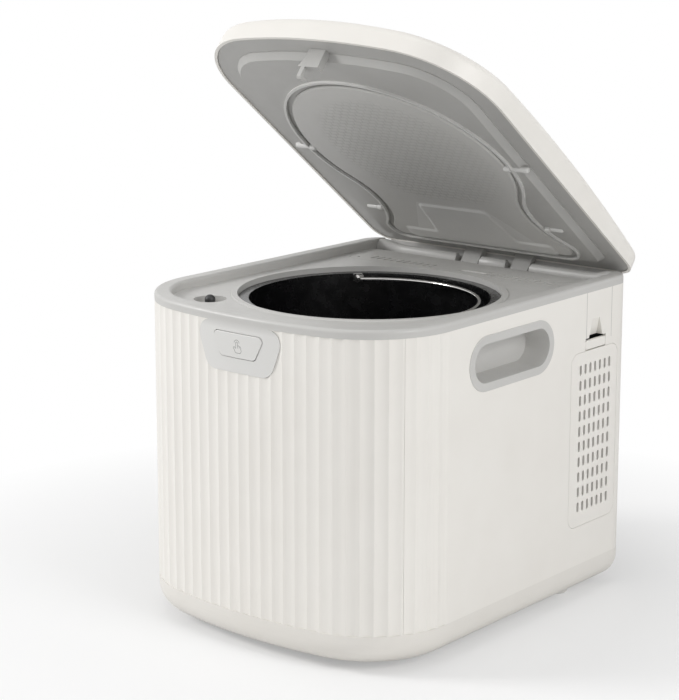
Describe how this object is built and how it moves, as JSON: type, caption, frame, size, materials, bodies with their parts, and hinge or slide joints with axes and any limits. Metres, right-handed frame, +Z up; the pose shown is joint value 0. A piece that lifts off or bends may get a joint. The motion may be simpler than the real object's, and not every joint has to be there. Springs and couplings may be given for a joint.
{
  "type": "electric food waste composter",
  "caption": "Countertop food waste composter: fluted white casing, grey deck, lifting lid, black bucket with agitator, side filter drawer and hand recesses.",
  "frame": {"origin": "middle of the underside of the box that the part fills with its lid half open, on the surface it stands on", "axes": "+Z up, -Y out of the bowed front with the release button, +X out of the side with the filter drawer"},
  "size_m": [0.2712, 0.348, 0.473],
  "materials": {
    "casing_white": "warm white, satin",
    "deck_grey": "light grey, satin",
    "lid_inner": "mid grey, fine texture",
    "touch_black": "gloss black",
    "bucket_black": "black non-stick coating",
    "steel": "drawn steel",
    "bright_steel": "polished",
    "zinc_sheet": "sheet, dull",
    "cast_aluminium": "cast",
    "bronze": "sintered",
    "rubber_black": "matt",
    "rubber_grey": "silicone, matt",
    "nylon_black": "matt black",
    "nylon_ivory": "natural",
    "board_green": "solder mask",
    "motor_paint": "dark grey",
    "carbon": "pressed granules"
  },
  "bodies": {
    "casing": {"base_pan": "casing_white", "feet": "rubber_black", "base_screws": "steel", "front_panel": "casing_white", "rear_casing": "casing_white", "handle_cup_right": "deck_grey", "handle_cup_left": "deck_grey", "bucket": "bucket_black", "bucket_bushing": "bronze", "well_liner": "zinc_sheet", "well_gasket": "rubber_grey", "heater_plate": "cast_aluminium", "bail_lugs": "bright_steel", "gearbox_housing": "nylon_black", "gearbox_cover": "nylon_black", "bearings": "steel", "idler_axle": "steel", "motor_can": "motor_paint", "shaft_seal": "rubber_black", "heat_shield": "zinc_sheet", "temperature_sensor": "steel", "deck": "deck_grey", "exhaust_cover": "deck_grey", "button_springs": "steel", "latch_keeper": "nylon_black", "plunger_spring": "steel", "interlock_switch": "nylon_black", "hinge_brackets": "nylon_black", "hinge_pins": "steel", "drawer_bay": "nylon_black", "blower_housing": "nylon_black", "blower_motor": "motor_paint", "intake_duct": "nylon_black", "outlet_duct": "nylon_black", "main_board": "board_green", "power_inlet": "nylon_black"},
    "lid": {"lid_shell": "casing_white", "touch_panel": "touch_black", "lid_board": "board_green", "lid_liner": "lid_inner", "lid_gasket": "rubber_grey", "inner_cover": "lid_inner", "cover_clips": "lid_inner", "latch_hook": "lid_inner", "hinge_arms": "lid_inner"},
    "release_button": {"open_button": "deck_grey", "latch_slide": "nylon_black"},
    "lid_switch_plunger": {"interlock_plunger": "nylon_black"},
    "filter_drawer": {"vent_panel": "casing_white", "filter_tray": "nylon_black", "carbon_filters": "carbon", "tray_seal": "rubber_grey"},
    "drawer_tab": {"drawer_latch": "casing_white"},
    "bucket_bail": {"bail": "bright_steel"},
    "agitator_rotor": {"agitator": "cast_aluminium", "output_shaft": "steel", "output_gear": "nylon_ivory"},
    "gear_idler": {"idler_gear": "nylon_ivory"},
    "motor_rotor": {"motor_pinion": "steel"},
    "fan": {"fan_wheel": "nylon_black"}
  },
  "joints": [
    {"name": "lid_hinge", "type": "hinge", "parent": "casing", "child": "lid", "pos_m": [0, 0.1518, 0.2476], "axis": [-1, 0, 0], "range_deg": [-38, 50]},
    {"name": "button_press", "type": "slide", "parent": "casing", "child": "release_button", "axis": [0, 1, 0], "range_m": [0, 0.003], "stiffness_N_per_m": 1500, "springref_m": -0.002, "deforming": ["button_springs"]},
    {"name": "plunger_press", "type": "slide", "parent": "casing", "child": "lid_switch_plunger", "axis": [0, 0, -1], "range_m": [0, 0.003], "stiffness_N_per_m": 400, "springref_m": -0.003, "deforming": ["plunger_spring"]},
    {"name": "drawer_slide", "type": "slide", "parent": "casing", "child": "filter_drawer", "axis": [1, 0, 0], "range_m": [0, 0.075]},
    {"name": "drawer_tab_hinge", "type": "hinge", "parent": "filter_drawer", "child": "drawer_tab", "pos_m": [0.1298, 0.1023, 0.2104], "axis": [0, -1, 0], "range_deg": [0, 8], "stiffness_Nm_per_rad": 0.05, "springref_deg": -11.46},
    {"name": "bail_hinge", "type": "hinge", "parent": "casing", "child": "bucket_bail", "pos_m": [0, -0.0183, 0.2484], "axis": [0.7071, -0.7071, 0], "range_deg": [0, 180]},
    {"name": "agitator_turn", "type": "hinge", "parent": "casing", "child": "agitator_rotor", "pos_m": [0, -0.0183, 0.1], "axis": [0, 0, 1], "continuous": true},
    {"name": "idler_turn", "type": "hinge", "parent": "casing", "child": "gear_idler", "pos_m": [-0.02344, 0.02229, 0.03], "axis": [0, 0, 1], "continuous": true},
    {"name": "motor_turn", "type": "hinge", "parent": "casing", "child": "motor_rotor", "pos_m": [-0.04219, 0.05477, 0.04], "axis": [0, 0, 1], "continuous": true},
    {"name": "fan_turn", "type": "hinge", "parent": "casing", "child": "fan", "pos_m": [-0.06, 0.1009, 0.14], "axis": [0, 0, 1], "continuous": true}
  ],
  "couplings": [
    {"joint": "idler_turn", "follows": "motor_turn", "ratio": -0.25},
    {"joint": "agitator_turn", "follows": "motor_turn", "ratio": 0.0625}
  ]
}
